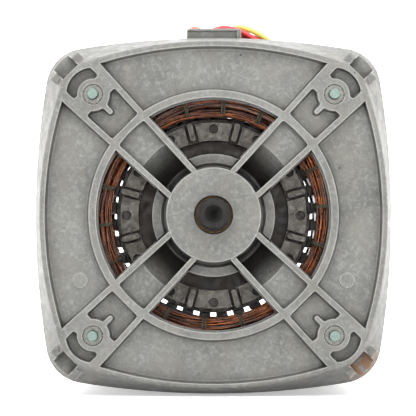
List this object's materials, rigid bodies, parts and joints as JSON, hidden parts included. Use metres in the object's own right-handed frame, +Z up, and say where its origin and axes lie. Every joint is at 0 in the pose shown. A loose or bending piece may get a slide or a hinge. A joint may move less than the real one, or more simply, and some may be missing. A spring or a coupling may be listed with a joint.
{
  "type": "open-frame induction motor with die-cast end shields",
  "caption": "Open-frame single-phase induction motor: square die-cast end shields with air openings, wound stator, cage rotor with fan blades, start switch and top leads.",
  "frame": {"origin": "on the shaft axis, in the plane of the front end shield's bolt bosses", "axes": "+X to the right seen from the shaft end, +Y along the shaft from the output end to the rear, +Z up"},
  "size_m": [0.143, 0.1471, 0.1498],
  "materials": {
    "cast_aluminium": "die-cast, matte",
    "stator_steel": "laminated, dark oxide",
    "slot_paper": "varnished dark film",
    "copper_enamel": "enamelled copper wire",
    "lacing_cord": "varnished cord",
    "zinc_steel": "zinc plated",
    "bronze": "sintered",
    "felt": "oiled felt",
    "spring_steel": "bright rolled",
    "phenolic": "moulded",
    "tinned_brass": "tinned",
    "black_plastic": "moulded",
    "red_insulation": "extruded",
    "orange_insulation": "extruded",
    "yellow_insulation": "extruded",
    "grommet_rubber": "moulded",
    "clear_sleeve": "moulded",
    "shaft_steel": "ground, dark",
    "rotor_steel": "oxidised laminations",
    "rotor_aluminium": "as cast"
  },
  "bodies": {
    "frame": {"front_end_shield": "cast_aluminium", "rear_end_shield": "cast_aluminium", "stator_core": "stator_steel", "slot_liners": "slot_paper", "slot_wedges": "slot_paper", "coil_sides": "copper_enamel", "main_winding_front": "copper_enamel", "main_winding_rear": "copper_enamel", "start_winding_front": "copper_enamel", "start_winding_rear": "copper_enamel", "winding_lacing_front": "lacing_cord", "winding_lacing_rear": "lacing_cord", "through_bolts": "zinc_steel", "bolt_washers": "zinc_steel", "knurled_nuts": "zinc_steel", "front_bearing": "bronze", "rear_bearing": "bronze", "front_oil_felt": "felt", "rear_oil_felt": "felt", "front_bearing_retainer": "spring_steel", "rear_bearing_retainer": "spring_steel", "rear_bearing_cap": "spring_steel", "terminal_board": "phenolic", "terminal_tabs": "tinned_brass", "terminal_screws": "zinc_steel", "switch_base": "phenolic", "switch_contacts": "tinned_brass", "switch_screws": "zinc_steel", "switch_pivot_pin": "spring_steel", "lead_red": "red_insulation", "lead_orange": "orange_insulation", "lead_yellow": "yellow_insulation", "lead_grommet": "grommet_rubber", "lead_connectors": "clear_sleeve"},
    "rotor": {"shaft": "shaft_steel", "rotor_core": "rotor_steel", "rotor_cage": "rotor_aluminium", "front_thrust_washers": "phenolic", "governor_plate": "spring_steel", "governor_spring": "spring_steel", "governor_pins": "spring_steel"},
    "governor_collar": {"governor_collar": "black_plastic"},
    "governor_weight_upper": {"governor_weight_upper": "rotor_steel"},
    "governor_weight_lower": {"governor_weight_lower": "rotor_steel"},
    "switch_arm": {"switch_arm": "black_plastic"}
  },
  "joints": [
    {"name": "shaft_spin", "type": "hinge", "parent": "frame", "child": "rotor", "pos_m": [0, 0, 0], "axis": [0, -1, 0], "continuous": true},
    {"name": "governor_slide", "type": "slide", "parent": "rotor", "child": "governor_collar", "axis": [0, -1, 0], "range_m": [0, 0.004], "stiffness_N_per_m": 400, "springref_m": -0.002, "deforming": ["governor_spring"]},
    {"name": "weight_upper_swing", "type": "hinge", "parent": "rotor", "child": "governor_weight_upper", "pos_m": [0, 0.092, 0.0175], "axis": [-1, 0, 0], "range_deg": [0, 30.5]},
    {"name": "weight_lower_swing", "type": "hinge", "parent": "rotor", "child": "governor_weight_lower", "pos_m": [0, 0.092, -0.0175], "axis": [1, 0, 0], "range_deg": [0, 30.5]},
    {"name": "switch_arm_swing", "type": "hinge", "parent": "frame", "child": "switch_arm", "pos_m": [0, 0.09925, 0.0275], "axis": [-1, 0, 0], "range_deg": [0, 6.3]}
  ],
  "couplings": [
    {"joint": "weight_upper_swing", "follows": "governor_slide", "rad_per_m": 130.9},
    {"joint": "weight_lower_swing", "follows": "governor_slide", "rad_per_m": 130.9},
    {"joint": "switch_arm_swing", "follows": "governor_slide", "rad_per_m": 27}
  ]
}
